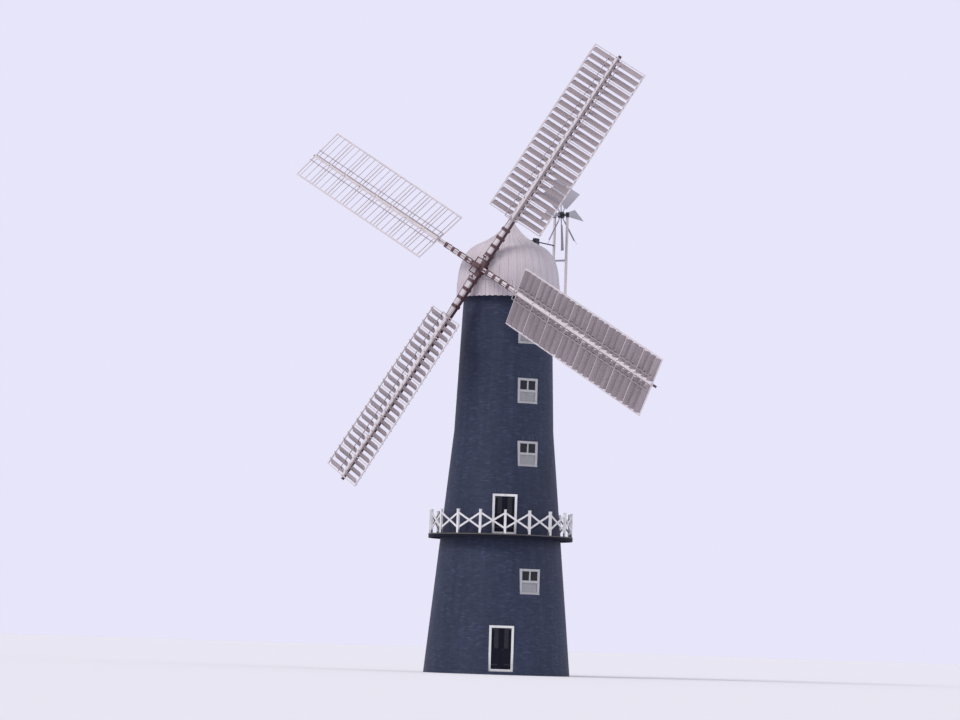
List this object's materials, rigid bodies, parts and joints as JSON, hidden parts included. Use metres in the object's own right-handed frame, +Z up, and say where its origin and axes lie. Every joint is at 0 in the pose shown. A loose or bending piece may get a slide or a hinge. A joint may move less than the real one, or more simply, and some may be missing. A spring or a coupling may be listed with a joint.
{
  "type": "traditional tower windmill",
  "caption": "Round brick tower windmill with a railed gallery, a turning ogee cap, four shuttered sails and a fantail.",
  "frame": {"origin": "centre of the tower on the ground, at the underside of the ground slab", "axes": "+Z up, -Y the side that the sails face at rest, +Y towards the fantail, +X to the right seen from the front"},
  "size_m": [21.8298, 12.0783, 29.9903],
  "materials": {
    "slab": "rough",
    "brick": "tarred brick, matt with a soft sheen",
    "bare_wood": "sawn timber",
    "white_wood": "weathered white paint",
    "dark_wood": "dark paint",
    "deck_wood": "grey weathered boards",
    "cap_boards": "painted boards",
    "shutter_boards": "painted boards, worn",
    "red_wood": "dark red-brown paint",
    "red_iron": "dark red-brown paint",
    "dark_iron": "black paint",
    "glass": "clear, dark behind"
  },
  "bodies": {
    "tower": {"ground_slab": "slab", "ground_storey": "brick", "first_storey": "brick", "stage_storey": "brick", "third_storey": "brick", "fourth_storey": "brick", "top_storey": "brick", "floors": "bare_wood", "window_frames": "white_wood", "window_glass": "glass", "window_panels": "white_wood", "door_frames": "white_wood", "door_leaves": "dark_wood", "gallery_joists": "dark_wood", "gallery_edge": "dark_wood", "gallery_deck": "deck_wood", "gallery_posts": "white_wood", "gallery_braces": "white_wood", "curb": "dark_iron"},
    "cap": {"cap_ring": "bare_wood", "sheers": "white_wood", "shaft_beams": "bare_wood", "shaft_bearings": "dark_iron", "cap_skirt": "cap_boards", "cap_roof": "cap_boards", "finial": "cap_boards", "fan_stage": "deck_wood", "fan_posts": "white_wood", "fan_crossbar": "white_wood", "fan_rail": "dark_iron", "fan_bearings": "dark_iron"},
    "sails": {"windshaft": "red_iron", "canister": "red_iron", "stock_one": "red_wood", "stock_two": "red_wood", "stock_clamps": "red_iron", "sail_frames": "white_wood", "shutters_one": "shutter_boards", "shutters_two": "shutter_boards", "shutters_three": "shutter_boards", "shutters_four": "shutter_boards", "shutter_bars": "white_wood", "spider": "red_iron"},
    "fan": {"fan_wheel": "dark_iron", "fan_blades": "white_wood"}
  },
  "joints": [
    {"name": "cap_turn", "type": "hinge", "parent": "tower", "child": "cap", "pos_m": [0, 0, 18.1105], "axis": [0, 0, 1], "continuous": true},
    {"name": "sails_turn", "type": "hinge", "parent": "cap", "child": "sails", "pos_m": [0, -2.66, 19.215], "axis": [0, -0.9781, 0.2079], "continuous": true},
    {"name": "fan_turn", "type": "hinge", "parent": "cap", "child": "fan", "pos_m": [0, 4.88, 22.6], "axis": [1, 0, 0], "continuous": true}
  ]
}
